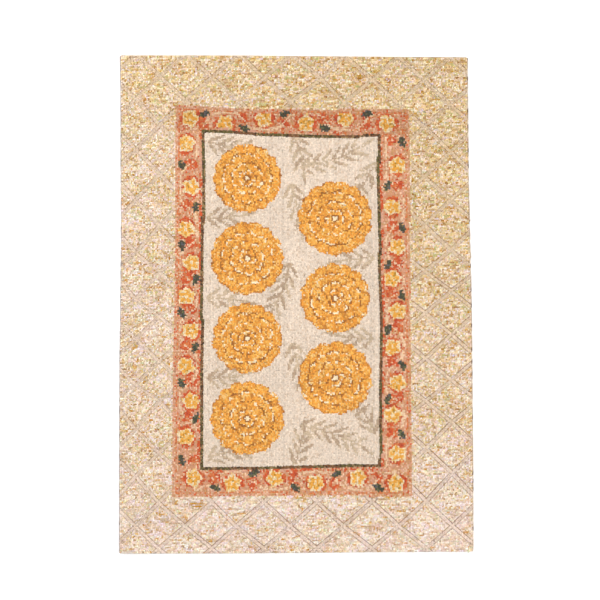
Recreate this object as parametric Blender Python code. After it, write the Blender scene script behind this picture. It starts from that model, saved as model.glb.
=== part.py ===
"""Hand-knotted rug, about 1.20 m by 1.70 m, lying flat.

The rug is one flat piece of knotted wool pile. Its outer border is carved into a lattice
of diamonds, with channels shorn between them. Each side is overcast into a cord, and each
end is bound with a finer one. Metres, +Z up. The origin is on the floor under the rug's
middle, +X runs across the width, and +Y runs along the length towards the top end.
"""
import bmesh
import bpy
import numpy as np

MM = 0.001

# Thickness of the knotted cloth, from the knots' backs to the tips of the pile.
PILE_TOP = 11 * MM
# The pile leans outwards and is rounded off over this width at the rim.
SHOULDER_WIDTH = 6 * MM
SHOULDER_DROP = 3 * MM
# The rounding's slope changes at these shares of its width.
SHOULDER_STEPS = (0.4, 1.0)

# A carved channel: its width between the raised diamonds, its floor and its depth.
CHANNEL_WIDTH = 14 * MM
CHANNEL_FLOOR = 8 * MM
CHANNEL_DEPTH = 3 * MM
# A channel comes up to the surface over this length where it meets the flower band.
CHANNEL_RUNOUT = 10 * MM

# The side cords, the finer end bindings, and the gap between two pieces.
SIDE_CORD_DIAMETER = 5.2 * MM
END_CORD_DIAMETER = 4.0 * MM
GAP = 0.3 * MM

# The woven edges wander: how far each lies from the middle, going down the rug.
SIDE_EDGES_MM = {
    "y":     [852, 732, 630, 420, 271, 170, 67, -53, -190, -330, -600, -852],
    "left":  [-604, -602, -601.5, -601, -600, -600.5, -601.5, -602.5, -605, -605.5, -606, -606.3],
    "right": [586.5, 587.5, 588.5, 590.5, 593.5, 597, 599, 601, 602.5, 603.5, 606, 606.3],
}
# The ends are cut a little out of square.
END_EDGES_MM = {
    "x":      [-606, -180, 180, 606],
    "top":    [852, 851.5, 848, 845],
    "bottom": [-852, -851.5, -848, -845],
}

# The lattice is drawn by eye on the loom, so its half steps are uneven. A channel crossing
# lies where a column and a row meet whose numbers add up to an odd number.
LATTICE_COLUMNS_MM = {
    "top":    [-547, -465, -380, -288, -193, -110, -16, 86, 165, 260, 348, 436, 525],
    "bottom": [-549, -470, -380, -288, -206, -110, -21, 70, 161, 259, 351, 445, 534],
}
LATTICE_ROWS_MM = {
    "left":  [780, 703, 613, 531, 447, 357, 268, 176, 111, 15, -43, -118, -196, -275,
              -331, -428, -509, -588, -678, -758, -833],
    "right": [763, 681, 606, 521, 435, 357, 271, 186, 114, 48, -26, -101, -183, -258,
              -329, -401, -489, -575, -671, -756, -833],
}
# Where the rug's edges and the flower band lie, counted in lattice columns and rows.
EDGE_COLUMNS = (-0.65, 12.76)
EDGE_ROWS = (-0.95, 20.22)
BAND_COLUMNS = (1.56, 10.46)
BAND_ROWS = (1.23, 17.78)

COLUMN_STEP = 90 * MM
ROW_STEP = 80 * MM

CORD_POINT_SPACING = 60 * MM


def edge_x(side, y):
    """The x of the rug's left or right edge at the height y, in metres."""
    rising = slice(None, None, -1)
    return np.interp(y / MM, SIDE_EDGES_MM["y"][rising], SIDE_EDGES_MM[side][rising]) * MM


def edge_y(end, x):
    """The y of the rug's top or bottom edge at x, in metres."""
    return np.interp(x / MM, END_EDGES_MM["x"], END_EDGES_MM[end]) * MM


def lattice_to_rug(column, row):
    """Place a point, given in lattice columns and rows, on the uneven rug."""
    column_numbers = [EDGE_COLUMNS[0], *range(len(LATTICE_COLUMNS_MM["top"])), EDGE_COLUMNS[1]]
    row_numbers = [EDGE_ROWS[0], *range(len(LATTICE_ROWS_MM["left"])), EDGE_ROWS[1]]
    across = (column - EDGE_COLUMNS[0]) / (EDGE_COLUMNS[1] - EDGE_COLUMNS[0])
    down = (row - EDGE_ROWS[0]) / (EDGE_ROWS[1] - EDGE_ROWS[0])

    x_guess = (across - 0.5) * 2 * edge_x("right", 0)
    top = edge_y("top", x_guess) - END_CORD_DIAMETER - GAP
    bottom = edge_y("bottom", x_guess) + END_CORD_DIAMETER + GAP
    rows = [(1 - across) * left * MM + across * right * MM
            for left, right in zip(LATTICE_ROWS_MM["left"], LATTICE_ROWS_MM["right"])]
    y = np.interp(row, row_numbers, [top, *rows, bottom])

    left = edge_x("left", y) + SIDE_CORD_DIAMETER + GAP
    right = edge_x("right", y) - SIDE_CORD_DIAMETER - GAP
    columns = [(1 - down) * upper * MM + down * lower * MM
               for upper, lower in zip(LATTICE_COLUMNS_MM["top"], LATTICE_COLUMNS_MM["bottom"])]
    x = np.interp(column, column_numbers, [left, *columns, right])
    return float(x), float(y)


def distance_inside(value, low, high, step):
    """How far a column or row number lies inside two limits, in metres."""
    return min(value - low, high - value) * step


def channel_offset():
    """The lattice columns that one metre across a channel spans."""
    diagonal = np.hypot(COLUMN_STEP, ROW_STEP)
    return diagonal / (COLUMN_STEP * ROW_STEP)


def surface_height(column, row):
    """The pile's height: shorn in the channels, rounded at the rim."""
    off_line = []
    for diagonal in (column + row, column - row):
        nearest_odd = 2 * np.floor(diagonal / 2) + 1
        off_line.append(abs(diagonal - nearest_odd) / channel_offset())
    wall = (CHANNEL_WIDTH - CHANNEL_FLOOR) / 2
    shorn = np.clip((CHANNEL_WIDTH / 2 - min(off_line)) / wall, 0, 1)

    inside_band = min(distance_inside(column, *BAND_COLUMNS, COLUMN_STEP),
                      distance_inside(row, *BAND_ROWS, ROW_STEP))
    runout = np.clip(-inside_band / CHANNEL_RUNOUT, 0, 1)

    inside_edge = min(distance_inside(column, *EDGE_COLUMNS, COLUMN_STEP),
                      distance_inside(row, *EDGE_ROWS, ROW_STEP))
    outward = 1 - np.clip(inside_edge / SHOULDER_WIDTH, 0, 1)
    rounded = 1 - np.sqrt(1 - outward ** 2)
    return PILE_TOP - CHANNEL_DEPTH * shorn * runout - SHOULDER_DROP * rounded


def in_band(point):
    """True for a point of the flower band or the field, which the lattice leaves bare."""
    return (BAND_COLUMNS[0] < point.x < BAND_COLUMNS[1]
            and BAND_ROWS[0] < point.y < BAND_ROWS[1])


def cut_across(mesh, point, normal, border_only):
    """Cut the flat sheet along one straight line of the lattice's plane."""
    faces = [face for face in mesh.faces
             if not (border_only and in_band(face.calc_center_median()))]
    edges = {edge for face in faces for edge in face.edges}
    verts = {vert for face in faces for vert in face.verts}
    bmesh.ops.bisect_plane(mesh, geom=[*faces, *edges, *verts], dist=1e-6,
                           plane_co=(*point, 0), plane_no=(*normal, 0))


def cut_lines(mesh):
    """Cut the sheet wherever its height changes slope."""
    for column in BAND_COLUMNS:
        cut_across(mesh, (column, 0), (1, 0), border_only=False)
    for row in BAND_ROWS:
        cut_across(mesh, (0, row), (0, 1), border_only=False)
    for inset in (share * SHOULDER_WIDTH for share in SHOULDER_STEPS):
        for column, way in zip(EDGE_COLUMNS, (1, -1)):
            cut_across(mesh, (column + way * inset / COLUMN_STEP, 0), (1, 0), border_only=True)
        for row, way in zip(EDGE_ROWS, (1, -1)):
            cut_across(mesh, (0, row + way * inset / ROW_STEP), (0, 1), border_only=True)
    for column, way in zip(BAND_COLUMNS, (-1, 1)):
        cut_across(mesh, (column + way * CHANNEL_RUNOUT / COLUMN_STEP, 0), (1, 0), border_only=True)
    for row, way in zip(BAND_ROWS, (-1, 1)):
        cut_across(mesh, (0, row + way * CHANNEL_RUNOUT / ROW_STEP), (0, 1), border_only=True)

    offsets = [way * width / 2 * channel_offset()
               for width in (CHANNEL_FLOOR, CHANNEL_WIDTH) for way in (-1, 1)]
    most = len(LATTICE_COLUMNS_MM["top"]) + len(LATTICE_ROWS_MM["left"])
    for odd in range(1 - 2 * most, 2 * most, 2):
        for offset in offsets:
            for normal in ((1, 1), (1, -1)):
                cut_across(mesh, (odd + offset, 0), normal, border_only=True)


def finish_mesh(name, mesh, material):
    """Turn a bmesh into a named object with its material."""
    bmesh.ops.recalc_face_normals(mesh, faces=mesh.faces)
    data = bpy.data.meshes.new(name)
    mesh.to_mesh(data)
    mesh.free()
    data.materials.append(material)
    piece = bpy.data.objects.new(name, data)
    bpy.context.collection.objects.link(piece)
    return piece


def build_rug(material):
    """The knotted cloth: a carved top, an upright rim and a flat back."""
    mesh = bmesh.new()
    corners = [(EDGE_COLUMNS[0], EDGE_ROWS[0]), (EDGE_COLUMNS[0], EDGE_ROWS[1]),
               (EDGE_COLUMNS[1], EDGE_ROWS[1]), (EDGE_COLUMNS[1], EDGE_ROWS[0])]
    mesh.faces.new([mesh.verts.new((*corner, 0)) for corner in corners])
    cut_lines(mesh)
    for vert in mesh.verts:
        column, row = vert.co.x, vert.co.y
        vert.co = (*lattice_to_rug(column, row), surface_height(column, row))

    rim = [edge for edge in mesh.edges if edge.is_boundary]
    wall = bmesh.ops.extrude_edge_only(mesh, edges=rim)["geom"]
    for vert in wall:
        if isinstance(vert, bmesh.types.BMVert):
            vert.co.z = 0
    back = [edge for edge in mesh.edges if edge.is_boundary]
    bmesh.ops.triangle_fill(mesh, use_beauty=True, edges=back)
    return finish_mesh("rug", mesh, material)


def build_cord(name, points, diameter, material):
    """An overcast cord that follows the given points along the floor."""
    curve = bpy.data.curves.new(name, "CURVE")
    curve.dimensions = "3D"
    curve.bevel_depth = diameter / 2
    curve.bevel_resolution = 2
    curve.use_fill_caps = True
    spline = curve.splines.new("POLY")
    spline.points.add(len(points) - 1)
    for target, (x, y) in zip(spline.points, points):
        target.co = (x, y, diameter / 2, 1)
    curve.materials.append(material)
    cord = bpy.data.objects.new(name, curve)
    bpy.context.collection.objects.link(cord)
    return cord


def build_side_cord(name, side, inward, material):
    """The overcast cord along one side, from end to end."""
    x_here = edge_x(side, 0)
    end_gap = SIDE_CORD_DIAMETER / 2
    count = int((edge_y("top", x_here) - edge_y("bottom", x_here)) / CORD_POINT_SPACING)
    points = []
    for y in np.linspace(edge_y("top", x_here) - end_gap, edge_y("bottom", x_here) + end_gap, count):
        points.append((edge_x(side, y) + inward * SIDE_CORD_DIAMETER / 2, y))
    return build_cord(name, points, SIDE_CORD_DIAMETER, material)


def build_end_cord(name, end, inward, material):
    """The finer binding across one end, between the two side cords."""
    y_here = edge_y(end, 0)
    side_gap = SIDE_CORD_DIAMETER + GAP
    left = edge_x("left", y_here) + side_gap
    right = edge_x("right", y_here) - side_gap
    count = int((right - left) / CORD_POINT_SPACING)
    points = []
    for x in np.linspace(left, right, count):
        points.append((x, edge_y(end, x) + inward * END_CORD_DIAMETER / 2))
    return build_cord(name, points, END_CORD_DIAMETER, material)


def wool(name, srgb_hex, roughness):
    """A Principled BSDF of dyed wool."""
    channels = np.array([int(srgb_hex[i:i + 2], 16) / 255 for i in (1, 3, 5)])
    linear = np.where(channels > 0.04045, ((channels + 0.055) / 1.055) ** 2.4, channels / 12.92)
    material = bpy.data.materials.new(name)
    material.use_nodes = True
    shader = material.node_tree.nodes["Principled BSDF"]
    shader.inputs["Base Color"].default_value = (*linear, 1)
    shader.inputs["Roughness"].default_value = roughness
    shader.inputs["Metallic"].default_value = 0
    return material


for old in list(bpy.data.objects):
    bpy.data.objects.remove(old, do_unlink=True)

build_rug(wool("wool pile", "#e0c6a7", 0.95))
build_side_cord("selvedge_left", "left", 1, wool("grey lilac overcast wool", "#b5a49c", 0.9))
build_side_cord("selvedge_right", "right", -1, wool("brown overcast wool", "#a57f5a", 0.9))
build_end_cord("end_binding_top", "top", -1, wool("taupe end binding", "#c2ab93", 0.9))
build_end_cord("end_binding_bottom", "bottom", 1, wool("grey brown end binding", "#b09a86", 0.9))
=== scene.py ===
"""Hand-knotted wool rug, 1.20 m by 1.70 m, lying on a pale floor and seen from straight above.

It is built as it is made: the cotton foundation, then the cut pile knot by knot (the carved
lattice border, the vine band, the field and its rosettes), then the overcast edges.
Metres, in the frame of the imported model.
"""

import bpy
import numpy as np
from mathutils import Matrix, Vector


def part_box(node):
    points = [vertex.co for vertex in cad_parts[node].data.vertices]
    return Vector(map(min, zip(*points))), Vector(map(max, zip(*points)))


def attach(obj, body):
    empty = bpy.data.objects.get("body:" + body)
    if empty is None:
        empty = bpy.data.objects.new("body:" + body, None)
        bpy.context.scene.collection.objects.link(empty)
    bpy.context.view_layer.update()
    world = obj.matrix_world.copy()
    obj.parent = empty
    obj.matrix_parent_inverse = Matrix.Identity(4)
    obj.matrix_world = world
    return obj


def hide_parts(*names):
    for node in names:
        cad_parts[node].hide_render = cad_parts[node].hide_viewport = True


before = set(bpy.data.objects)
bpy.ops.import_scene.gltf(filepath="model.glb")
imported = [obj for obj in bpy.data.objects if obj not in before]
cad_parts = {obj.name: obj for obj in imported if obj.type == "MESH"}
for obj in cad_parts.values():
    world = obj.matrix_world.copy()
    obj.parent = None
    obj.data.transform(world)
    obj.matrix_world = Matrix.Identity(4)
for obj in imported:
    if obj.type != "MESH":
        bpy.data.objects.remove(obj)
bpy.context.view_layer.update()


# The loom: it sets the rug's outline, which wanders as the warps let it, and the grid of the
# knots. A knot lies at the middle of its cell, and the weaver's hand places it a little off.
MM = 0.001
KNOT_PITCH = 5.2 * MM
FOUNDATION_THICKNESS = 2.4 * MM
EDGE_MARGIN = 30 * MM
CHART_SLIP = 1.1 * MM

rng = np.random.default_rng(1701)
rug_low, rug_high = (np.array(corner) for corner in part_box("rug"))
rug_half = (rug_high - rug_low) / 2
back = np.array([vert.co[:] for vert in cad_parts["rug"].data.vertices])
back = back[back[:, 2] < rug_low[2] + 0.1 * MM]


def woven_edge(axis, sign):
    """One edge of the rug's back, as the coordinates along it and the edge's place."""
    along = back[:, 1 - axis]
    on_edge = (back[:, axis] * sign > 0) & (abs(along) < rug_half[1 - axis] - EDGE_MARGIN)
    edge = back[on_edge]
    edge = edge[edge[:, 1 - axis].argsort()]
    return edge[:, 1 - axis], edge[:, axis]


left_edge, right_edge = woven_edge(0, -1), woven_edge(0, 1)
bottom_edge, top_edge = woven_edge(1, -1), woven_edge(1, 1)


def on_loom(across, down):
    """Place shares of the width and the length, from the top left, on the uneven rug."""
    x = rug_low[0] + across * 2 * rug_half[0]
    y = (1 - down) * np.interp(x, *top_edge) + down * np.interp(x, *bottom_edge)
    x = (1 - across) * np.interp(y, *left_edge) + across * np.interp(y, *right_edge)
    return x, y


def lumpy(columns, rows):
    """Smooth random values about zero for each knot, with lumps of that many knots."""
    coarse = rng.normal(0, 1, (int(KNOT_ROWS / rows) + 3, int(KNOT_COLUMNS / columns) + 3))
    row_at = np.linspace(0, coarse.shape[0] - 1.001, KNOT_ROWS)
    column_at = np.linspace(0, coarse.shape[1] - 1.001, KNOT_COLUMNS)
    row, column = row_at.astype(int)[:, None], column_at.astype(int)[None, :]
    r, c = (row_at % 1)[:, None], (column_at % 1)[None, :]
    r, c = r * r * (3 - 2 * r), c * c * (3 - 2 * c)
    upper = (1 - c) * coarse[row, column] + c * coarse[row, column + 1]
    lower = (1 - c) * coarse[row + 1, column] + c * coarse[row + 1, column + 1]
    return (1 - r) * upper + r * lower


def linear(srgb_hex):
    """An sRGB hex colour as linear red, green and blue."""
    channels = np.array([int(srgb_hex[i:i + 2], 16) / 255 for i in (1, 3, 5)])
    return np.where(channels > 0.04045, ((channels + 0.055) / 1.055) ** 2.4, channels / 12.92)


KNOT_COLUMNS = int(2 * rug_half[0] / KNOT_PITCH)
KNOT_ROWS = int(2 * rug_half[1] / KNOT_PITCH)
across, down = np.meshgrid((np.arange(KNOT_COLUMNS) + 0.5) / KNOT_COLUMNS,
                           (np.arange(KNOT_ROWS) + 0.5) / KNOT_ROWS)
loom_x, loom_y = on_loom(across, down)

# Where the vine band starts and where the dark line round the field runs, side by side:
# the distance from the rug's middle at places along each side.
BAND_OUTSIDE_MM = {
    "left":   {"along": [680, 360, 20, -330, -657], "place": [-411, -415, -417, -421, -423]},
    "right":  {"along": [667, 20, -80, -657], "place": [388, 389, 392, 394]},
    "top":    {"along": [-414, -300, -190, 390], "place": [681, 676, 669, 665]},
    "bottom": {"along": [-423, -200, 394], "place": [-657, -653, -654]},
}
DARK_LINE_MM = {
    "left":   {"along": [590, 440, 210, -40, -210, -560],
               "place": [-319, -316.5, -319, -321, -323.5, -323.5]},
    "right":  {"along": [576, 220, 50, -60, -300, -550], "place": [281, 284, 288, 291, 287, 287]},
    "top":    {"along": [-318, -230, -120, 80, 250, 284], "place": [592, 590, 581, 576, 575, 576]},
    "bottom": {"along": [-320, -130, 0, 200, 287], "place": [-559, -558, -555, -551, -552]},
}


def wandering_line(sides, side, along):
    """The place of one side of a nested border, in metres, at points along it."""
    order = np.argsort(sides[side]["along"])
    return np.interp(along / MM, np.array(sides[side]["along"])[order],
                     np.array(sides[side]["place"])[order]) * MM


def inside(sides, x, y):
    """How far points lie inside a nested border, in metres."""
    return np.minimum.reduce([x - wandering_line(sides, "left", y),
                              wandering_line(sides, "right", y) - x,
                              wandering_line(sides, "top", x) - y,
                              y - wandering_line(sides, "bottom", x)])


def crooked(sides, place, along, extent):
    """How far the knots at a place are drawn aside, so that one warp or weft follows each line."""
    lines = [(BAND_OUTSIDE_MM, sides[0]), (DARK_LINE_MM, sides[0]), (DARK_LINE_MM, sides[1]),
             (BAND_OUTSIDE_MM, sides[1])]
    wander = [wandering_line(*line, along) for line in lines]
    means = [line.mean() for line in wander]
    stations = np.array([-extent, *means, extent])
    aside = np.array([0 * along, *[line - mean for line, mean in zip(wander, means)], 0 * along])
    segment = np.clip(np.searchsorted(stations, place) - 1, 0, len(stations) - 2)
    share = (place - stations[segment]) / (stations[segment + 1] - stations[segment])
    before = np.take_along_axis(aside, segment[None], 0)[0]
    return before + share * (np.take_along_axis(aside, segment[None] + 1, 0)[0] - before)


knot_x = loom_x + crooked(("left", "right"), loom_x, loom_y, rug_half[0])
knot_y = loom_y + crooked(("bottom", "top"), loom_y, loom_x, rug_half[1])
drawn_x = knot_x + rng.normal(0, CHART_SLIP, knot_x.shape)
drawn_y = knot_y + rng.normal(0, CHART_SLIP, knot_x.shape)
knot_colour = np.zeros((*knot_x.shape, 3))
in_band = inside(BAND_OUTSIDE_MM, knot_x, knot_y)
in_field = inside(DARK_LINE_MM, knot_x, knot_y)


# The pile: each knot leaves a tuft of cut wool, a soft lock wider at its tip than at its root.
# The shears leave all tips at one height, but for the rounded rim and the carved channels.
PILE_HEIGHT = rug_high[2] - 0.5 * MM
ROOT_WIDTH = 0.80 * KNOT_PITCH
TIP_WIDTH = 1.07 * KNOT_PITCH
TIP_LENGTH = 1.17 * KNOT_PITCH
NAP_LEAN = 0.8 * MM
TUFT_SLIP = 0.35 * MM
TUFT_TURN = 0.28
TUFT_SIZES = (0.94, 1.08)
LEAN_UNEVENNESS = 0.35 * MM
SHEAR_UNEVENNESS = 0.16 * MM
SHEAR_WAVES = 0.15 * MM
TIP_SLOPE = 0.42 * MM
TIP_SPREAD = 0.5 * MM
RIM_ROUNDING = 6 * MM
RIM_DROP = 2.6 * MM
RIM_SPLAY = 1.6 * MM
# The roots of the tufts are darkened by this share: painted shade between the tufts.
ROOT_PAINTED_SHADE = 0.68
DYE_DEPTH = 0.943
DYE_UNEVENNESS = 0.045
DYE_WAVES = 0.02
PLY_UNEVENNESS = 0.05

tuft_z = rng.normal(0, SHEAR_UNEVENNESS, knot_x.shape) + SHEAR_WAVES * lumpy(30, 24)
tuft_turn = rng.normal(0, TUFT_TURN, knot_x.shape)
tuft_size = rng.uniform(*TUFT_SIZES, knot_x.shape)
tuft_x = knot_x + rng.normal(0, TUFT_SLIP, knot_x.shape)
tuft_y = knot_y + rng.normal(0, TUFT_SLIP, knot_x.shape)
tuft_lean_x = rng.normal(0, LEAN_UNEVENNESS, knot_x.shape)
tuft_lean_y = -NAP_LEAN + rng.normal(0, LEAN_UNEVENNESS, knot_x.shape)
tuft_slopes = rng.normal(0, TIP_SLOPE, (*knot_x.shape, 4))
tuft_spread = rng.normal(0, TIP_SPREAD, (*knot_x.shape, 4, 2))
dye_strength = DYE_DEPTH + DYE_UNEVENNESS * rng.normal(0, 1, knot_x.shape) + DYE_WAVES * lumpy(18, 12)


def joined_mesh(name, points, quads):
    """One object from an array of points and an array of quads."""
    mesh = bpy.data.meshes.new(name)
    mesh.vertices.add(len(points))
    mesh.vertices.foreach_set("co", points.astype(np.float32).ravel())
    mesh.loops.add(quads.size)
    mesh.loops.foreach_set("vertex_index", quads.astype(np.int32).ravel())
    mesh.polygons.add(len(quads))
    mesh.polygons.foreach_set("loop_start", np.arange(0, quads.size, 4, dtype=np.int32))
    mesh.polygons.foreach_set("loop_total", np.full(len(quads), 4, dtype=np.int32))
    mesh.update(calc_edges=True)
    mesh.validate()
    mesh.shade_smooth()
    piece = bpy.data.objects.new(name, mesh)
    bpy.context.collection.objects.link(piece)
    return piece


def paint(piece, colours, domain):
    """Store linear colours on a piece's points or faces, for its yarn."""
    layer = piece.data.color_attributes.new("yarn", "FLOAT_COLOR", domain)
    rgba = np.ones((len(colours), 4), np.float32)
    rgba[:, :3] = np.clip(colours, 0.004, 0.98)
    layer.data.foreach_set("color", rgba.ravel())


def map_from_above(piece):
    """A UV map that looks straight down on the piece."""
    mesh = piece.data
    points = np.empty(len(mesh.vertices) * 3, np.float32)
    mesh.vertices.foreach_get("co", points)
    points = points.reshape(-1, 3)[:, :2]
    low, high = points.min(0), points.max(0)
    corners = np.empty(len(mesh.loops), np.int32)
    mesh.loops.foreach_get("vertex_index", corners)
    layer = mesh.uv_layers.new(name="OFBake")
    layer.data.foreach_set("uv", ((points - low) / (high - low))[corners].ravel())


def cut_pile(name, chosen, material, carve=None, second_ply=knot_colour):
    """Stand a tuft on each chosen knot, as one piece.

    carve gives the depths of the channels and stores their lines. Two corners of each tip have the
    colour of the yarn's second ply.
    """
    count = int(chosen.sum())
    points = np.empty((count, 8, 3))
    turn, size = tuft_turn[chosen], tuft_size[chosen]
    for corner in range(4):
        angle = np.pi / 4 + corner * np.pi / 2
        for ring, width, length in ((0, ROOT_WIDTH, ROOT_WIDTH), (4, TIP_WIDTH, TIP_LENGTH)):
            aside = size * width * np.cos(angle) / np.sqrt(2)
            ahead = size * length * np.sin(angle) / np.sqrt(2)
            points[:, ring + corner, 0] = tuft_x[chosen] + aside * np.cos(turn) - ahead * np.sin(turn)
            points[:, ring + corner, 1] = tuft_y[chosen] + aside * np.sin(turn) + ahead * np.cos(turn)
    points[:, 4:, :2] += tuft_spread[chosen]
    points[:, 4:, 0] += tuft_lean_x[chosen][:, None]
    points[:, 4:, 1] += tuft_lean_y[chosen][:, None]
    x, y = points[..., 0], points[..., 1]
    in_from = [x - np.interp(y, *left_edge), np.interp(y, *right_edge) - x,
               y - np.interp(x, *bottom_edge), np.interp(x, *top_edge) - y]
    rim = np.minimum.reduce(in_from)
    splay = [RIM_SPLAY * np.clip(1 - distance[:, 4:] / (1.5 * RIM_ROUNDING), 0, 1) for distance in in_from]
    x[:, 4:] += splay[1] - splay[0]
    y[:, 4:] += splay[3] - splay[2]
    tips = PILE_HEIGHT - RIM_DROP * np.clip(1 - rim / RIM_ROUNDING, 0, 1) ** 2
    if carve:
        depth, lines = carve(x, y)
        tips -= depth
    points[:, :4, 2] = FOUNDATION_THICKNESS
    points[:, 4:, 2] = tips[:, 4:] + tuft_z[chosen][:, None] + tuft_slopes[chosen]
    tuft = np.array([[0, 1, 5, 4], [1, 2, 6, 5], [2, 3, 7, 6], [3, 0, 4, 7], [4, 5, 6, 7]])
    quads = (tuft[None] + 8 * np.arange(count)[:, None, None]).reshape(-1, 4)
    piece = joined_mesh(name, points.reshape(-1, 3), quads)
    colours = np.repeat(knot_colour[chosen][:, None], 8, axis=1)
    colours[:, 5::2] = second_ply[chosen][:, None]
    colours *= dye_strength[chosen][:, None, None]
    colours[:, 4:] *= rng.normal(1, PLY_UNEVENNESS, (count, 4, 1))
    # Painted shade: the roots of each tuft are darkened for the shade that falls between the tufts.
    colours[:, :4] *= ROOT_PAINTED_SHADE
    paint(piece, colours.reshape(-1, 3), "POINT")
    if carve:
        layer = piece.data.attributes.new("lattice", "FLOAT_VECTOR", "POINT")
        layer.data.foreach_set("vector", lines.reshape(-1, 3).astype(np.float32).ravel())
    map_from_above(piece)
    piece.data.materials.append(material)
    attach(piece, "root")
    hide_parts("rug")
    return piece


def add_node(tree, kind, links=None, **settings):
    """Add a shader node, set its properties, and link or set its sockets."""
    node = tree.nodes.new("ShaderNode" + kind)
    for name, value in settings.items():
        setattr(node, name, value)
    for socket, source in (links or {}).items():
        if isinstance(source, bpy.types.NodeSocket):
            tree.links.new(source, node.inputs[socket])
        else:
            node.inputs[socket].default_value = source
    return node


def math(tree, operation, *values):
    """The result of a Math node."""
    return add_node(tree, "Math", dict(enumerate(values)), operation=operation).outputs[0]


def wool(name, strand, strand_shade_depth, relief, roughness, sheen, worked=None):
    """Wool coloured by its yarn attribute. Its strands stand a strand's width apart, with painted shade
    between them and fibre to fibre tone.
    """
    material = bpy.data.materials.new(name)
    material.use_nodes = True
    tree = material.node_tree
    shader = tree.nodes["Principled BSDF"]
    place = add_node(tree, "TexCoord").outputs["Object"]
    yarn = add_node(tree, "Attribute", attribute_name="yarn").outputs["Color"]
    if worked:
        yarn = worked(tree, yarn)
    strands = add_node(tree, "TexVoronoi", {"Vector": place, "Scale": 1 / strand}).outputs["Distance"]
    fibres = add_node(tree, "TexNoise", {"Vector": place, "Scale": 3 / strand,
                                         "Detail": 2.0}).outputs["Fac"]
    tip = add_node(tree, "MapRange", {"Value": strands, "From Min": 0.1, "From Max": 0.75, "To Min": 1.0,
                                      "To Max": 0.0}, interpolation_type="SMOOTHSTEP").outputs[0]
    height = math(tree, "MULTIPLY_ADD", fibres, 0.8, tip)
    # Painted shade: the colour is darker between the strands and lighter at their tips, with the fibre
    # noise as tone.
    tone = add_node(tree, "MapRange", {"Value": height, "From Max": 1.3, "To Min": 1 - 2 * strand_shade_depth,
                                       "To Max": 1 + strand_shade_depth}).outputs[0]
    colour = add_node(tree, "VectorMath", {0: yarn, "Scale": tone}, operation="SCALE").outputs[0]
    bump = add_node(tree, "Bump", {"Height": height, "Distance": relief, "Strength": 0.8}).outputs[0]
    tree.links.new(colour, shader.inputs["Base Color"])
    tree.links.new(bump, shader.inputs["Normal"])
    shader.inputs["Roughness"].default_value = roughness
    shader.inputs["Specular IOR Level"].default_value = 0.25
    shader.inputs["Sheen Weight"].default_value = sheen
    shader.inputs["Sheen Roughness"].default_value = 0.5
    return material


# The outer border: heathered hand-spun wool, its tones changing from knot to knot, straw and
# gold at the top right, paler and pinker at the bottom left. After shearing, a lattice of smooth
# channels is carved into it, which leaves raised diamonds.
STRAW_BATCH = (
    # colour of the yarn, its share of the knots
    ("#d9bb8e", 0.19), ("#cfab7b", 0.14), ("#e9ca92", 0.15), ("#e4c7a9", 0.12), ("#f1d6ad", 0.12),
    ("#f7e4c8", 0.07), ("#b88d58", 0.05), ("#cf9f58", 0.05), ("#c9bb83", 0.07), ("#e3cfc9", 0.03),
)
PINK_BATCH = (
    ("#e6cbb4", 0.19), ("#f8e1cd", 0.19), ("#f1d5ba", 0.16), ("#efd9cf", 0.14), ("#ddc0a4", 0.10),
    ("#fdecdb", 0.11), ("#ccac8b", 0.04), ("#d9a867", 0.03), ("#e2d8b8", 0.04),
)
ABRASH_DOWN = (0.07, 0.24, 0.50, 0.75, 0.93)
ABRASH_PINK = {"left": (0.16, 0.55, 0.73, 0.60, 0.92), "right": (0.03, 0.03, 0.28, 0.60, 0.92)}
NEW_YARN_SHARE = 0.7
HEATHER_CAST = (0.03, 0.03, 0.06)
HEATHER_BLOTCH = (0.03, 0.03, 0.09)
HEATHER_DEPTH = 1.45
NEW_STROKE_SHARE = 0.35
STROKE_SHARE = 0.6
DARK_YARNS = 4
CLUSTER = 1.1
CHANNEL_HALF_WIDTH = 7 * MM
CHANNEL_WALL = 3 * MM
CHANNEL_DEPTH = 3 * MM
CHANNEL_RUNOUT = 10 * MM
CHANNEL_COLOURS = ("#e1c8a8", "#eed7c8")
# Painted shadow: a brown line along each wall of the lattice channels, darker on the upper side, where the
# wall keeps the light off.
SHADOW_LINE_PLACE = 6.3 * MM
PAINTED_LINE_HALF_WIDTH = 2.0 * MM
SHADOW_LINE_DARKNESS = (0.85, 0.55)
SHADOW_LINE_COLOUR = "#84502f"
PAINTED_LINE_STRENGTH = (0.55, 0.45)
PAINTED_LINE_GRAIN = 50 * MM
# Painted highlight: a pale line on the rim of each diamond beside a channel, where the tips catch the
# light.
RIM_HIGHLIGHT_PLACE = 9.6 * MM
RIM_HIGHLIGHT_BRIGHTNESS = 0.35
RIM_HIGHLIGHT_COLOUR = "#fdebd2"

# The lattice is drawn by eye, so its half steps are uneven. Channels cross where a column and
# a row meet whose numbers add up to an odd number.
LATTICE_COLUMNS_MM = {
    "top":    [-547, -465, -380, -288, -193, -110, -16, 86, 165, 260, 348, 436, 525],
    "bottom": [-549, -470, -380, -288, -206, -110, -21, 70, 161, 259, 351, 445, 534],
}
LATTICE_ROWS_MM = {
    "left":  [780, 703, 613, 531, 447, 357, 268, 176, 111, 15, -43, -118, -196, -275,
              -331, -428, -509, -588, -678, -758, -833],
    "right": [763, 681, 606, 521, 435, 357, 271, 186, 114, 48, -26, -101, -183, -258,
              -329, -401, -489, -575, -671, -756, -833],
}
COLUMN_STEP = 90 * MM
ROW_STEP = 80 * MM
LINES_PER_METRE = np.hypot(COLUMN_STEP, ROW_STEP) / (COLUMN_STEP * ROW_STEP)


def lattice_number(place, numbered_mm):
    """The lattice column or row at a place, counted on past the first and last one."""
    steps = [numbered_mm[0] * 2 - numbered_mm[1], *numbered_mm, numbered_mm[-1] * 2 - numbered_mm[-2]]
    rising = np.argsort(steps)
    return np.interp(place / MM, np.array(steps)[rising], np.arange(-1, len(steps) - 1)[rising])


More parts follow.
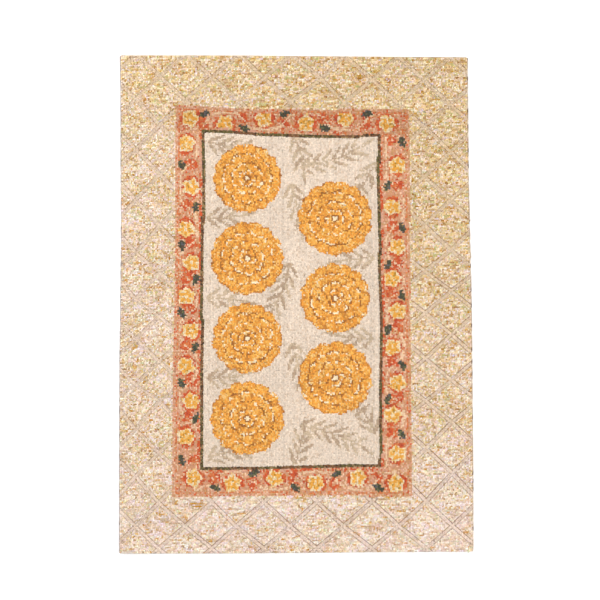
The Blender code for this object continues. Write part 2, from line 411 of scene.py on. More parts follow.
def carve_lattice(x, y):
    """The depth of the channels at points, the two diagonal numbers that place them, and the strength of
    the painted shadow lines and highlights.
    """
    down_here = (rug_half[1] - y) / (2 * rug_half[1])
    across_here = (rug_half[0] + x) / (2 * rug_half[0])
    column = ((1 - down_here) * lattice_number(x, LATTICE_COLUMNS_MM["top"])
              + down_here * lattice_number(x, LATTICE_COLUMNS_MM["bottom"]))
    row = ((1 - across_here) * lattice_number(y, LATTICE_ROWS_MM["left"])
           + across_here * lattice_number(y, LATTICE_ROWS_MM["right"]))
    diagonals = np.stack([column + row, column - row], axis=-1)
    off_channel = (abs(diagonals % 2 - 1) / LINES_PER_METRE).min(-1)
    runout = np.clip(-inside(BAND_OUTSIDE_MM, x, y) / CHANNEL_RUNOUT, 0, 1)
    depth = CHANNEL_DEPTH * runout * np.clip((CHANNEL_HALF_WIDTH - off_channel) / CHANNEL_WALL, 0, 1)
    # The painted shadow lines and highlights grow stronger towards the bottom right.
    line_strength = PAINTED_LINE_STRENGTH[0] + PAINTED_LINE_STRENGTH[1] * np.clip((down_here + 0.6 * across_here - 0.75) / 0.4, 0, 1)
    return depth, np.concatenate([diagonals, (runout * line_strength)[..., None]], axis=-1)


def channel_shadows_and_highlights(tree, yarn):
    """Brown painted shadow lines along both walls of each channel, darker on the upper side, and pale
    painted highlights on the rims beside them.
    """
    lattice = add_node(tree, "Attribute", attribute_name="lattice").outputs["Vector"]
    axes = add_node(tree, "SeparateXYZ", {0: lattice}).outputs

    def line(off_middle, place, strength):
        """A line that runs along a channel, at a distance from its middle."""
        off_line = math(tree, "ABSOLUTE", math(tree, "SUBTRACT", off_middle, place))
        return add_node(tree, "MapRange", {"Value": off_line, "From Min": 0.2 * PAINTED_LINE_HALF_WIDTH,
                                           "From Max": PAINTED_LINE_HALF_WIDTH, "To Min": strength,
                                           "To Max": 0.0}, interpolation_type="SMOOTHSTEP").outputs[0]

    shadow_lines, rim_highlights, floors = [], [], []
    for axis, way_up in ((axes[0], -1), (axes[1], 1)):
        phase = math(tree, "SUBTRACT", math(tree, "FLOORED_MODULO", axis, 2.0), 1.0)
        off_middle = math(tree, "MULTIPLY", phase, way_up / LINES_PER_METRE)
        shadow_lines.append(math(tree, "MAXIMUM", line(off_middle, SHADOW_LINE_PLACE, SHADOW_LINE_DARKNESS[0]),
                         line(off_middle, -SHADOW_LINE_PLACE, SHADOW_LINE_DARKNESS[1])))
        off_middle = math(tree, "ABSOLUTE", off_middle)
        rim_highlights.append(line(off_middle, RIM_HIGHLIGHT_PLACE, RIM_HIGHLIGHT_BRIGHTNESS))
        floors.append(math(tree, "LESS_THAN", off_middle, SHADOW_LINE_PLACE - PAINTED_LINE_HALF_WIDTH))
    open_shadow_lines = [math(tree, "MULTIPLY", cut, math(tree, "SUBTRACT", 1.0, other_floor))
                 for cut, other_floor in zip(shadow_lines, floors[::-1])]
    # The painted shadow lines and highlights are stronger in some places than in others, over a hand's
    # breadth.
    place = add_node(tree, "TexCoord").outputs["Object"]
    line_strength = add_node(tree, "TexNoise", {"Vector": place, "Scale": 1 / PAINTED_LINE_GRAIN,
                                        "Detail": 3.0}).outputs["Fac"]
    line_strength = add_node(tree, "MapRange", {"Value": line_strength, "From Min": 0.35, "From Max": 0.6, "To Min": 0.45,
                                        "To Max": 1.0}).outputs[0]
    line_strength = math(tree, "MULTIPLY", axes[2], line_strength)
    # The painted highlights and then the painted shadow lines are mixed into the yarn.
    for lines, colour in ((rim_highlights, RIM_HIGHLIGHT_COLOUR), (open_shadow_lines, SHADOW_LINE_COLOUR)):
        share = math(tree, "MULTIPLY", math(tree, "MAXIMUM", *lines), line_strength)
        yarn = add_node(tree, "MixRGB", {"Fac": share, "Color1": yarn,
                                         "Color2": (*(linear(colour) * DYE_DEPTH), 1)}).outputs[0]
    return yarn


def run_draw(new_run_share):
    """A random number for each knot, the same along a short run of knots in a row."""
    run = np.cumsum((rng.random(knot_x.shape) < new_run_share).ravel()).reshape(knot_x.shape)
    return rng.random(run.max() + 1)[run]


def from_batch(batch):
    """A yarn for each knot; its dark and golden ones also come in clusters of short strokes."""
    wools = np.array([linear(colour) for colour, _ in batch])
    wools = wools.mean(0) + HEATHER_DEPTH * (wools - wools.mean(0))
    shares = np.cumsum([share for _, share in batch])
    chosen = np.searchsorted(shares / shares[-1], run_draw(NEW_YARN_SHARE)).clip(0, len(batch) - 1)
    dark = wools.sum(-1).argsort()[:DARK_YARNS]
    stroke = run_draw(NEW_STROKE_SHARE)
    in_cluster = (lumpy(9, 4) > CLUSTER) & (stroke < STROKE_SHARE)
    stroke_yarn = dark[(stroke * DARK_YARNS / STROKE_SHARE).astype(int) % DARK_YARNS]
    chosen = np.where(in_cluster, stroke_yarn, chosen)
    blotch = np.stack([1 + amount * lumpy(3, 2) for amount in HEATHER_BLOTCH], axis=-1)
    return wools[chosen] * blotch * rng.normal(1, HEATHER_CAST, (*chosen.shape, 3))


in_border = in_band < 0
pinkness = ((1 - across) * np.interp(down, ABRASH_DOWN, ABRASH_PINK["left"])
            + across * np.interp(down, ABRASH_DOWN, ABRASH_PINK["right"]))
pinkness = np.clip(pinkness + 0.10 * lumpy(26, 10), 0, 1)
smooth = (linear(CHANNEL_COLOURS[0]) * (1 - pinkness[..., None])
          + linear(CHANNEL_COLOURS[1]) * pinkness[..., None])
in_channel = (carve_lattice(knot_x, knot_y)[0] > 0.5 * CHANNEL_DEPTH)[..., None]


def heathered_ply():
    """One ply of the border's yarn, as a colour for each knot, quieter in the channels."""
    from_pink_batch = (rng.random(knot_x.shape) < pinkness)[..., None]
    heathered = np.where(from_pink_batch, from_batch(PINK_BATCH), from_batch(STRAW_BATCH))
    return np.where(in_channel, 0.7 * smooth + 0.3 * heathered, heathered)


knot_colour[in_border] = heathered_ply()[in_border]
second_ply = heathered_ply()

border_wool = wool("heathered hand spun wool pile", 1.7 * MM, 0.15, 0.6 * MM, 0.9, 0.15,
                   worked=channel_shadows_and_highlights)
upper, lower, left_half = knot_y > 0.40, knot_y < -0.40, knot_x < 0
border_parts = {"top": upper, "bottom": lower, "left": ~upper & ~lower & left_half,
                "right": ~upper & ~lower & ~left_half}
pile_pieces = [cut_pile("pile_lattice_" + side, in_border & part, border_wool, carve_lattice, second_ply)
               for side, part in border_parts.items()]


# The vine band: a salmon guard stripe, then a salmon ground with a cream vine that swings from
# side to side. Yellow flowers stand in its bends, capped with rust red, with a dark green leaf
# between each two. A rust stripe and a fine dark line of brown and green close it to the field.
BAND_YARNS = {
    "salmon": "#d89b74", "pink": "#dea68a", "tan": "#d29c69", "pale salmon": "#eec5a4", "rust": "#d45b2f",
    "deep rust": "#bd4829", "orange rust": "#d97b45", "cream": "#f2dcb6", "vine": "#efcba6",
    "yellow": "#eda943", "pale yellow": "#f0c87f", "ochre": "#b98a2e", "leaf green": "#484b39",
    "leaf brown": "#5f4b38", "leaf olive": "#6c6a45", "leaf slate": "#605c5e",
    "line green": "#685d33", "line brown": "#7d5535", "line dark": "#503a24", "line pale": "#a08258",
}
GUARD_WIDTH = 15 * MM
STRIPE_WIDTH = 9 * MM
DARK_LINE_HALF_WIDTH = 1.0 * KNOT_PITCH
FLOWER_RADIUS = 27 * MM
PETAL_PLACE = 15 * MM
PETAL_HALF_LENGTH = 10 * MM
PETAL_HALF_WIDTH = 7.5 * MM
FLOWER_OFFSET = 9 * MM
FLOWER_PETALS = 5
PETAL_SHADE_SHARE = (0.16, 0.30, 0.44)
RAGGEDNESS = 0.06
STIPPLE = {"top": 0.10, "bottom": 0.03, "left": 0.05, "right": 0.05}
STRIPE_SHARE = {"top": 0.15, "bottom": 0.4, "left": 0.55, "right": 0.6}
TOP_BATCH = (0.87, 0.85, 0.82)
CAP_MM = (38, 31)
PATCH_OFFSET = 8 * MM
PATCH_LENGTH = 0.15
PATCH_HALF_WIDTH = 22 * MM
VINE_SWING = 30 * MM
VINE_HALF_WIDTH = 3.4 * MM
LEAF_LENGTH = 40 * MM
LEAF_WIDTH = 21 * MM
LEAF_OFFSET = 24 * MM

# Each side: its axis across, the way out, the middle line's distance from the rug's middle, and
# the places of flowers and leaves along it. The first flower and leaf are on the outer side if 1.
VINE_SIDES_MM = {
    "top":    {"across": 1, "out": 1, "middle": 627, "lean": 1,
               "first_flower": 1, "flowers": [-363, -243, -110, 33, 167, 310],
               "first_leaf": 1, "leaves": [-313, -178, -40, 98, 242]},
    "bottom": {"across": 1, "out": -1, "middle": 601, "lean": 1,
               "first_flower": -1, "flowers": [-350, -218, -73, 66, 211, 341],
               "first_leaf": 1, "leaves": [-276, -145, -2, 138, 281]},
    "left":   {"across": 0, "out": -1, "middle": 367, "lean": 1,
               "first_flower": 1, "flowers": [550, 402, 258, 142, 28, -89, -209, -329, -452],
               "first_leaf": 1, "leaves": [476, 334, 202, 86, -29, -143, -268, -387, -530]},
    "right":  {"across": 0, "out": 1, "middle": 337, "lean": -1,
               "first_flower": 1, "flowers": [476, 332, 197, 89, -22, -146, -267, -377, -509],
               "first_leaf": 1, "leaves": [555, 406, 261, 137, 31, -86, -207, -323, -443]},
}


def dye(chosen, yarn, yarns, share=1.0):
    """Give the chosen knots, or a random share of them, one yarn."""
    if share < 1:
        chosen = chosen & (rng.random(chosen.shape) < share)
    knot_colour[chosen] = linear(yarns[yarn])


ragged = 1 + RAGGEDNESS * rng.normal(0, 1, knot_x.shape)
in_vine_band = (in_band >= 0) & (in_field < DARK_LINE_HALF_WIDTH)
dye(in_vine_band, "salmon", BAND_YARNS)
dye(in_vine_band, "pink", BAND_YARNS, 0.25)
dye(in_vine_band, "tan", BAND_YARNS, 0.18)
dye(in_vine_band, "pale salmon", BAND_YARNS, 0.18)

above = drawn_y > wandering_line(DARK_LINE_MM, "top", drawn_x)
below = drawn_y < wandering_line(DARK_LINE_MM, "bottom", drawn_x)
owned = {"top": above, "bottom": below, "left": ~above & ~below & (drawn_x < 0),
         "right": ~above & ~below & (drawn_x > 0)}

in_leaf = np.zeros(knot_x.shape, bool)
for side, plan in VINE_SIDES_MM.items():
    outward = plan["out"] * (drawn_x, drawn_y)[plan["across"]] - plan["middle"] * MM
    along = (drawn_x, drawn_y)[1 - plan["across"]]
    here = in_vine_band & owned[side]
    flowers, leaves = np.array(plan["flowers"]) * MM, np.array(plan["leaves"]) * MM
    bends = plan["first_flower"] * (-1.0) ** np.arange(len(flowers))
    leaf_bends = plan["first_leaf"] * (-1.0) ** np.arange(len(leaves))
    dye(here & (lumpy(3, 3) > 0), "orange rust", BAND_YARNS, 2 * STIPPLE[side])
    dye(here, "rust", BAND_YARNS, 0.5 * STIPPLE[side])
    first_to_last = np.sign(flowers[-1] - flowers[0])

    for place, bend in zip(flowers, bends):
        ahead, aside = along - place, outward - bend * FLOWER_OFFSET
        in_cap = np.hypot(ahead / CAP_MM[0], aside / CAP_MM[1]) < MM * ragged
        own_side = np.arctan2(bend * aside, abs(ahead)) > np.radians(48)
        dye(here & in_cap & ~own_side, "rust", BAND_YARNS)
        dye(here & in_cap & ~own_side, "deep rust", BAND_YARNS, 0.24)
        dye(here & in_cap & ~own_side, "orange rust", BAND_YARNS, 0.22)
    for place, bend in zip(leaves, leaf_bends):
        ahead = along - place + first_to_last * 5 * MM
        reach = PATCH_LENGTH * abs(flowers[-1] - flowers[0]) / (len(flowers) - 1)
        in_patch = np.hypot(ahead / reach, (outward + bend * PATCH_OFFSET) / PATCH_HALF_WIDTH) < ragged
        patch_tone = lumpy(3, 3)
        dye(here & in_patch & (patch_tone > -0.6), "rust", BAND_YARNS, 0.8)
        dye(here & in_patch & (patch_tone > 0.2), "orange rust", BAND_YARNS, 0.5)
        dye(here & in_patch & (patch_tone < 0), "deep rust", BAND_YARNS, 0.16)

    rising = np.argsort(flowers)
    flower_number = np.interp(along, flowers[rising], np.arange(len(flowers)))
    bend_before = bends[rising][np.floor(flower_number).astype(int)]
    swing = np.tanh(1.8 * np.cos(np.pi * (flower_number % 1))) / np.tanh(1.8)
    on_vine = abs(outward + VINE_SWING * bend_before * swing) < VINE_HALF_WIDTH
    within = (along > flowers.min()) & (along < flowers.max()) | (plan["across"] == 0)
    dye(here & on_vine & within & (lumpy(4, 4) > -1.0), "vine", BAND_YARNS, 0.85)

    for place, bend in zip(leaves, leaf_bends):
        lean = np.radians(22) * bend * plan["lean"]
        ahead, aside = along - place, outward - bend * LEAF_OFFSET
        length = ahead * np.cos(lean) + aside * np.sin(lean)
        width = aside * np.cos(lean) - ahead * np.sin(lean)
        serration = 1 + 0.22 * np.sign(np.sin(2 * np.pi * length / (11 * MM)))
        blade = LEAF_WIDTH / 2 * serration * np.clip(1 - (2 * length / LEAF_LENGTH) ** 2, 0, 1) ** 0.7
        in_leaf |= here & (abs(width) < blade)
        dye(here & (abs(width) < blade), "leaf green", BAND_YARNS)
        dye(here & (abs(width) < blade), "leaf brown", BAND_YARNS, 0.22)
        dye(here & (abs(width) < blade), "leaf olive", BAND_YARNS, 0.22)
        dye(here & (abs(width) < blade), "leaf slate", BAND_YARNS, 0.12)

    for number, (place, bend) in enumerate(zip(flowers, bends)):
        ahead, aside = along - place, outward - bend * FLOWER_OFFSET
        from_middle, angle = np.hypot(ahead, aside / 1.12), np.arctan2(aside, ahead)
        lobes = np.cos(FLOWER_PETALS * angle + 1.7 * number)
        backing = here & (from_middle < FLOWER_RADIUS * (1 + 0.10 * lobes))
        dye(backing, "cream", BAND_YARNS)
        dye(backing, "pale yellow", BAND_YARNS, 0.4)
        for petal in range(FLOWER_PETALS):
            way = 2 * np.pi / FLOWER_PETALS * petal - 0.34 * number
            forth = ahead * np.cos(way) + aside * np.sin(way) - PETAL_PLACE
            sideways = aside * np.cos(way) - ahead * np.sin(way)
            blade = np.hypot(forth / PETAL_HALF_LENGTH, sideways / PETAL_HALF_WIDTH) < 1
            dye(here & blade, "yellow", BAND_YARNS)
            dye(here & blade, "pale yellow", BAND_YARNS, 0.14)
            shaded = here & blade & (sideways > 0.4 * PETAL_HALF_WIDTH)
            dye(shaded, "ochre", BAND_YARNS, PETAL_SHADE_SHARE[petal % 3])

guard = in_vine_band & (in_band < GUARD_WIDTH) & ~in_leaf
dye(guard, "salmon", BAND_YARNS)
dye(guard, "pink", BAND_YARNS, 0.35)
dye(guard, "tan", BAND_YARNS, 0.15)
dye(guard, "pale salmon", BAND_YARNS, 0.2)
dye(guard, "rust", BAND_YARNS, 0.07)
dye(guard & (knot_x > 0), "tan", BAND_YARNS, 0.25)
dye(guard & (in_band > 0.6 * GUARD_WIDTH), "orange rust", BAND_YARNS, 0.4)
stripe = (in_field < -DARK_LINE_HALF_WIDTH) & (in_field > -DARK_LINE_HALF_WIDTH - STRIPE_WIDTH) & ~in_leaf
stripe_tone = lumpy(5, 5)
for side, share in STRIPE_SHARE.items():
    dye(stripe & owned[side] & (stripe_tone > -0.5), "rust", BAND_YARNS, share)
dye(stripe & (stripe_tone <= -0.5), "pink", BAND_YARNS, 0.7)
dark_line = (in_field >= -DARK_LINE_HALF_WIDTH) & (in_field < DARK_LINE_HALF_WIDTH)
line_tone = lumpy(8, 8)
dye(dark_line & (line_tone > 0), "line brown", BAND_YARNS)
dye(dark_line & (line_tone <= 0), "line green", BAND_YARNS)
dye(dark_line, "line dark", BAND_YARNS, 0.25)
dye(dark_line, "line pale", BAND_YARNS, 0.18)
knot_colour[in_vine_band & owned["top"]] *= TOP_BATCH
pile_pieces.append(cut_pile("pile_vine_band", in_vine_band,
                            wool("salmon and rust dyed wool pile", 1.5 * MM, 0.14, 0.6 * MM, 0.9, 0.15)))


# The rosettes: seven round flowers in a half drop, four on the left and three on the right, each
# of four rings of petals round a small eye. Gold and orange wools, each petal with a brown edge
# and a cream line inside it.
ROSETTE_YARNS = {"gold": "#f8b855", "orange": "#ee9f3c", "pale gold": "#f9cb80", "amber": "#d08838",
                 "brown": "#a8672a", "cream": "#fee9c4"}
FIELD_CENTRE_MM = (-17, 15)
ROSETTES_MM = (
    # from the field's centre: place and radius
    (-150, 416, 118), (-150, 143, 126), (-150, -130, 121), (-150, -403, 127),
    (150, 280, 128), (150, 7, 120), (150, -266, 127),
)
PETAL_RINGS = (
    # inner and outer edge as shares of the radius, petals; the outermost first
    (0.76, 1.00, 15),
    (0.50, 0.76, 12),
    (0.28, 0.50, 8),
    (0.11, 0.28, 5),
)
EYE = 0.11
PETAL_DIP = 0.065
PETAL_EDGE = 4.6 * MM
PETAL_LINE = 5.4 * MM
PETAL_GAP = 2.4 * MM

ground = in_field >= DARK_LINE_HALF_WIDTH
in_rosette = np.zeros(knot_x.shape, bool)
field_x = drawn_x - FIELD_CENTRE_MM[0] * MM
field_y = drawn_y - FIELD_CENTRE_MM[1] * MM
for number, (centre_x, centre_y, radius_mm) in enumerate(ROSETTES_MM):
    radius = radius_mm * MM
    off_x, off_y = field_x - centre_x * MM, field_y - centre_y * MM
    distance, angle = np.hypot(off_x, off_y), np.arctan2(off_y, off_x)
    in_rosette |= ground & (distance < radius)
    for ring, (inner, outer, petals) in enumerate(PETAL_RINGS):
        turn = angle * petals / (2 * np.pi) + 0.31 * number + 0.5 * ring
        across_petal = abs(turn % 1 - 0.5) * 2
        tip = radius * (outer - PETAL_DIP * across_petal ** 2)
        petal = ground & (distance < tip)
        dye(petal, "orange", ROSETTE_YARNS)
        dye(petal, "gold", ROSETTE_YARNS, 0.42)
        dye(petal, "pale gold", ROSETTE_YARNS, 0.16)
        dye(petal, "amber", ROSETTE_YARNS, 0.10)
        from_tip = tip - distance
        broken = lumpy(4, 3)
        edge_shows = broken < (0.4 if ring > 0 else -0.9)
        dye(petal & (from_tip < PETAL_EDGE) & (broken < 0.6), "amber", ROSETTE_YARNS, 0.7)
        dye(petal & (from_tip < PETAL_EDGE) & edge_shows, "brown", ROSETTE_YARNS, 0.85)
        line = petal & (from_tip > PETAL_EDGE) & (from_tip < PETAL_EDGE + PETAL_LINE)
        line_shows = (across_petal < 0.75) & (broken > (-0.7 if ring > 0 else 0.9))
        dye(line & line_shows, "cream", ROSETTE_YARNS, 0.75)
        gap = (1 - across_petal) * distance * np.pi / petals < PETAL_GAP
        dye(petal & gap & (distance > 1.04 * radius * inner), "amber", ROSETTE_YARNS, 0.7)
    dye(distance < EYE * radius, "brown", ROSETTE_YARNS)
    dye(distance < 0.6 * EYE * radius, "cream", ROSETTE_YARNS)
outside_petals = in_rosette & (knot_colour.sum(-1) == 0)
in_rosette &= ~outside_petals
pile_pieces.append(cut_pile("pile_rosettes", in_rosette,
                            wool("golden dyed wool pile", 1.5 * MM, 0.14, 0.6 * MM, 0.9, 0.15)))


# The field ground: undyed cream wool in even cut pile, so the columns of knots show as faint
# upright stripes. Taupe sprigs with paired leaves lie over it, faint as if washed out.
FIELD_YARNS = {"cream": "#ead6c2", "pale cream": "#f2dfcb", "beige": "#e2c9b0",
               "taupe": "#bda287", "pale taupe": "#d0b89b"}
COLUMN_UNEVENNESS = 0.03
SPRIG_LEAF_STEP = 36 * MM
SPRIG_LEAF_LENGTH = 62 * MM
SPRIG_LEAF_WIDTH = 12.5 * MM
SPRIG_STEM_WIDTH = 8 * MM
SPRIGS_MM = (
    # from the field's centre: start, heading in degrees, length, bend in degrees
    (30, 455, 8, 240, 24), (222, 400, -78, 130, -30), (-285, 545, -20, 150, 20),
    (30, -430, -8, 240, -24), (222, -395, 78, 130, 30), (-285, -540, 20, 150, -20),
    (0, 400, -80, 190, 25), (-5, 130, -100, 190, -25), (5, -145, -80, 190, 25),
    (-290, 280, 0, 110, 12), (-290, 7, 0, 110, -12), (-290, -266, 0, 110, 12),
    (285, 143, 180, 110, 12), (285, -130, 180, 110, -12),
    (8, 560, -65, 120, -20), (8, -560, 65, 120, 20), (288, 470, -115, 100, -15), (288, -455, 115, 100, 15),
)

plain_ground = ground & ~in_rosette
dye(plain_ground, "cream", FIELD_YARNS)
dye(plain_ground, "pale cream", FIELD_YARNS, 0.25)
dye(plain_ground, "beige", FIELD_YARNS, 0.15)


def lens(x, y, way, length, width):
    """Which knots lie in a pointed leaf that starts at a point and heads a way."""
    ahead = (field_x - x) * np.cos(way) + (field_y - y) * np.sin(way)
    aside = (field_y - y) * np.cos(way) - (field_x - x) * np.sin(way)
    return abs(aside) < width / 2 * np.clip(1 - (2 * ahead / length - 1) ** 2, 0, 1) ** 0.6


for start_x, start_y, heading, length, bend in SPRIGS_MM:
    steps = int(length * MM / SPRIG_LEAF_STEP)
    x, y = start_x * MM, start_y * MM
    in_sprig = np.zeros(knot_x.shape, bool)
    for step in range(steps + 1):
        way = np.radians(heading + bend * step / steps)
        for turn in (-36, 36) if step < steps else (0,):
            in_sprig |= lens(x, y, way + np.radians(turn), SPRIG_LEAF_LENGTH, SPRIG_LEAF_WIDTH)
        in_sprig |= lens(x, y, way, 1.3 * SPRIG_LEAF_STEP, SPRIG_STEM_WIDTH)
        x, y = x + SPRIG_LEAF_STEP * np.cos(way), y + SPRIG_LEAF_STEP * np.sin(way)
    dye(plain_ground & in_sprig, "pale taupe", FIELD_YARNS, 0.9)
    dye(plain_ground & in_sprig & (lumpy(4, 6) > -0.2), "taupe", FIELD_YARNS, 0.7)

column_tone = 1 + COLUMN_UNEVENNESS * rng.normal(0, 1, KNOT_COLUMNS)[None, :, None]
knot_colour[plain_ground] = (knot_colour * column_tone)[plain_ground]
pile_pieces.append(cut_pile("pile_field", plain_ground,
                            wool("undyed cream wool pile", 1.5 * MM, 0.12, 0.6 * MM, 0.9, 0.2)))


# The foundation: cotton warps down the rug, crossed by weft between the rows of knots. It is one
# thin sheet that holds the pile, and its underside shows the backs of the knots, which wrap the
# warps in small collars of the same yarns.
FOUNDATION_CELLS = (KNOT_COLUMNS // 2, KNOT_ROWS // 2)
# The back is darkened down to this share where the collars dip: painted shade.
COLLAR_PAINTED_SHADE = 0.55


def collars(tree, yarn):
    """The small collars of the knots, one a knot, with painted shade where they dip between the warps."""
    place = add_node(tree, "TexCoord").outputs["Object"]
    turns = 2 * np.pi / (20 * KNOT_PITCH)
    waves = [add_node(tree, "TexWave", {"Vector": place, "Scale": turns, "Distortion": 0.5, "Detail": 1.0},
                      bands_direction=axis).outputs["Fac"] for axis in "XY"]
    painted_recess_shade = add_node(tree, "MapRange", {"Value": math(tree, "MULTIPLY", *waves),
                                      "To Min": COLLAR_PAINTED_SHADE, "To Max": 1.0}).outputs[0]
    return add_node(tree, "VectorMath", {0: yarn, "Scale": painted_recess_shade}, operation="SCALE").outputs[0]


bpy.ops.object.select_all(action="DESELECT")
bpy.ops.mesh.primitive_grid_add(x_subdivisions=FOUNDATION_CELLS[0], y_subdivisions=FOUNDATION_CELLS[1],
                                size=1, location=(0, 0, 0))
foundation = bpy.context.object
foundation.name = foundation.data.name = "foundation"
for vert in foundation.data.vertices:
    vert.co.x, vert.co.y = on_loom(vert.co.x + 0.5, 0.5 - vert.co.y)
    vert.co.z = rug_low[2]
centres = np.array([face.center[:] for face in foundation.data.polygons])
column_at = np.interp(centres[:, 0], knot_x[KNOT_ROWS // 2], np.arange(KNOT_COLUMNS)).astype(int)
row_at = np.interp(-centres[:, 1], -knot_y[:, KNOT_COLUMNS // 2], np.arange(KNOT_ROWS)).astype(int)
paint(foundation, knot_colour[row_at, column_at], "FACE")
thickness = foundation.modifiers.new("thickness", "SOLIDIFY")
thickness.thickness = FOUNDATION_THICKNESS
thickness.offset = 1
bpy.ops.object.modifier_apply(modifier="thickness")
map_from_above(foundation)
foundation.data.materials.append(wool("wool knot backs on cotton", 1.2 * MM, 0.12, 0.3 * MM, 0.95, 0.0,
                                      worked=collars))
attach(foundation, "root")
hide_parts("rug")


# The overcast edges: wool yarn wound round the outer warps, turn beside turn, so each edge is a
# fine ribbed cord. The left one is grey lilac, the right one brown, and the ends are taupe.
WRAP_PITCH = 3.4 * MM
WRAP_SLANT = 0.9
WRAP_BULGE = 0.10
RINGS_A_WRAP = 3
WRAPS_A_RUN = 4
CORDS = (
    # node, colours of the wool and their shares of the wraps, slot, sides
    ("selvedge_left", (("#b6abaa", 0.55), ("#cdc3bf", 0.30), ("#998e8a", 0.15)),
     "overcast_grey_lilac", 10),
    ("selvedge_right", (("#c3ab94", 0.45), ("#e3d2bf", 0.33), ("#775c48", 0.22)), "overcast_brown", 10),
    ("end_binding_top", (("#d6c1a4", 0.60), ("#c9b08f", 0.25), ("#e2d0b6", 0.15)), "binding_taupe", 8),
    ("end_binding_bottom", (("#cbb8a3", 0.60), ("#9f8b79", 0.18), ("#ddcfbe", 0.22)),
     "binding_grey_brown", 8),
)


def overcast_cord(node, colours, slot, sides):
    """Wind one edge of the rug along the middle line of its CAD cord."""
    points = np.array([vert.co[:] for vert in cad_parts[node].data.vertices])
    low, high = (np.array(corner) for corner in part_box(node))
    axis = 1 if node.startswith("selvedge") else 0
    radius = (high[2] - low[2]) / 2
    stations = np.unique(points[:, axis].round(5))
    middle = [points[abs(points[:, axis] - station) < 0.1 * MM][:, 1 - axis] for station in stations]
    middle = np.array([(ring.min() + ring.max()) / 2 for ring in middle])
    wraps = int((high[axis] - low[axis]) / WRAP_PITCH)
    rings = RINGS_A_WRAP * wraps + 1
    along = np.linspace(low[axis], high[axis], rings)[:, None]
    angle = (np.arange(sides) / sides * 2 * np.pi)[None, :]
    from_end = np.minimum(along - low[axis], high[axis] - along)
    swell = radius * (1 - WRAP_BULGE + WRAP_BULGE * abs(np.sin(np.pi * (along - low[axis]) / WRAP_PITCH)))
    swell = swell * np.clip(from_end / radius + 0.35, 0, 1) ** 0.5
    slant = WRAP_SLANT * WRAP_PITCH * np.cos(angle) * np.clip(from_end / (2 * radius), 0, 1)
    ring_points = np.empty((rings, sides, 3))
    ring_points[..., axis] = along + slant
    ring_points[..., 1 - axis] = np.interp(along, stations, middle) + swell * np.cos(angle)
    ring_points[..., 2] = radius + swell * np.sin(angle)
    index = np.arange(rings * sides).reshape(rings, sides)
    after = np.roll(index, -1, axis=1)
    quads = np.stack([index[:-1], index[1:], after[1:], after[:-1]], axis=-1).reshape(-1, 4)
    caps = []
    for end, ring in ((rings * sides, index[0]), (rings * sides + 1, index[-1][::-1])):
        for corner in range(0, sides, 2):
            caps.append([end, ring[corner], ring[(corner + 1) % sides], ring[(corner + 2) % sides]])
    quads = np.concatenate([quads, caps])
    if axis == 1:
        quads = quads[:, ::-1]
    points = np.concatenate([ring_points.reshape(-1, 3), [ring_points[0].mean(0), ring_points[-1].mean(0)]])
    piece = joined_mesh(node + "_wrapped", points, quads)
    wools = np.array([linear(colour) for colour, _ in colours])
    runs = rng.choice(len(colours), wraps // WRAPS_A_RUN + 1, p=[share for _, share in colours])
    tones = wools[np.repeat(runs, WRAPS_A_RUN)[:wraps + 1]]
    tones = tones * rng.normal(1, 0.07, (len(tones), 1))
    # Painted shade: the ring between two wraps is darkened for the groove between the turns.
    painted_recess_shade = np.where(np.arange(rings) % RINGS_A_WRAP == 0, 0.72, 1.0)[:, None]
    ring_colours = tones[np.minimum(np.arange(rings) // RINGS_A_WRAP, len(tones) - 1)] * painted_recess_shade
    paint(piece, np.concatenate([np.repeat(ring_colours, sides, axis=0), tones[[0, -1]]]), "POINT")
    map_from_above(piece)
    piece.data.materials.append(wool(slot.replace("_", " ") + " wool", 0.8 * MM, 0.12, 0.2 * MM, 0.85, 0.1))
    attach(piece, "root")
    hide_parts(node)
    return piece


cords = [overcast_cord(*cord) for cord in CORDS]


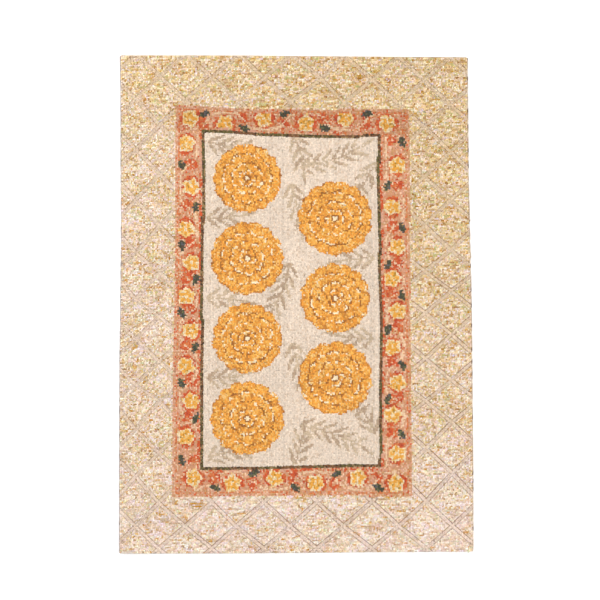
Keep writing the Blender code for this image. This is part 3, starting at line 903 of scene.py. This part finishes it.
# The floor, lights and camera: a white floor under soft, even light, and a camera straight above,
# so far up that the rug shows face on.
PHOTO_PIXELS = 600
METRES_PER_PIXEL = 3.414 * MM
PHOTO_CENTRE_MM = (13, 15)
CAMERA_HEIGHT = 6.0
FLOOR_SIZE = 14.0

bpy.ops.object.select_all(action="DESELECT")
bpy.ops.mesh.primitive_plane_add(size=FLOOR_SIZE, location=(0, 0, -0.6 * MM))
floor = bpy.context.object
floor.name = "floor"
white_paint = bpy.data.materials.new("matt white floor paint")
white_paint.use_nodes = True
tree = white_paint.node_tree
shader = tree.nodes["Principled BSDF"]
place = add_node(tree, "TexCoord").outputs["Object"]
speckle = add_node(tree, "TexNoise", {"Vector": place, "Scale": 40.0}).outputs["Fac"]
grey = add_node(tree, "MapRange", {"Value": speckle, "To Min": 0.90, "To Max": 0.93}).outputs[0]
white = add_node(tree, "CombineColor", dict.fromkeys(("Red", "Green", "Blue"), grey))
tree.links.new(white.outputs[0], shader.inputs["Base Color"])
shader.inputs["Roughness"].default_value = 0.9
floor.data.materials.append(white_paint)

world = bpy.data.worlds.new("white studio")
bpy.context.scene.world = world
world.use_nodes = True
world.node_tree.nodes["Background"].inputs["Color"].default_value = (1, 1, 1, 1)
world.node_tree.nodes["Background"].inputs["Strength"].default_value = 1.06


def softbox(name, place, size, power):
    """A large soft area light that faces the rug's middle."""
    bpy.ops.object.light_add(type="AREA", location=place)
    light = bpy.context.object
    light.name = name
    light.data.size = size
    light.data.energy = power
    light.rotation_euler = (-light.location).to_track_quat("-Z", "Y").to_euler()


softbox("key_softbox", (-2.2, 2.6, 3.2), 1.8, 100)
softbox("fill_softbox", (2.8, -1.8, 3.4), 2.6, 62)

bpy.ops.object.camera_add(location=(PHOTO_CENTRE_MM[0] * MM, PHOTO_CENTRE_MM[1] * MM, CAMERA_HEIGHT))
camera = bpy.context.object
camera.data.sensor_fit = "HORIZONTAL"
half_frame = PHOTO_PIXELS * METRES_PER_PIXEL / 2
camera.data.angle = 2 * np.arctan(half_frame / (CAMERA_HEIGHT - PILE_HEIGHT))
bpy.context.scene.camera = camera
bpy.context.scene.view_settings.view_transform = "Standard"

bpy.context.view_layer.update()
